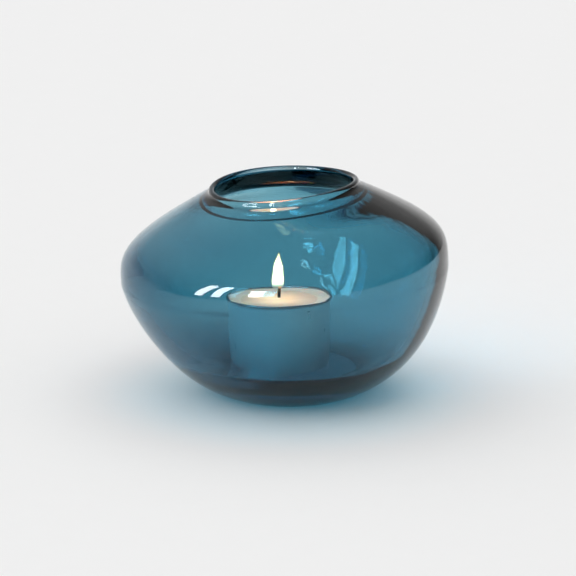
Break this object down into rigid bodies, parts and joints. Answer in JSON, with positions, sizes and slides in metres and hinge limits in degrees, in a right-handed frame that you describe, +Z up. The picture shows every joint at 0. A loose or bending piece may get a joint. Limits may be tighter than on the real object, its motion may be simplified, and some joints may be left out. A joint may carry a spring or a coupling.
{
  "type": "glass tealight holder",
  "caption": "Squat leaning blown-glass tealight holder with a rolled lip, and a tall tealight standing loose inside it.",
  "frame": {"origin": "centre of the flat foot that the holder rests on", "axes": "+Z up out of the foot, +X towards the side where the lip stands highest, +Y to the back"},
  "size_m": [0.1185, 0.1184, 0.0784],
  "materials": {
    "teal_glass": "clear petrol-blue glass, coloured right through, fire-polished and glossy",
    "cup_aluminium": "thin drawn sheet, satin, with faint draw lines",
    "paraffin_wax": "warm white paraffin, smooth and slightly translucent, wet where it melts",
    "cotton_wick": "braided cotton, charred where it burns",
    "tab_tinplate": "pressed tinplate"
  },
  "bodies": {
    "holder": {"glass_holder": "teal_glass"},
    "tealight": {"tealight_cup": "cup_aluminium", "wax": "paraffin_wax", "wick": "cotton_wick", "wick_tab": "tab_tinplate"}
  },
  "joints": [
    {"name": "tealight_lift", "type": "slide", "parent": "holder", "child": "tealight", "axis": [0, 0, 1], "range_m": [0, 0.08]}
  ]
}
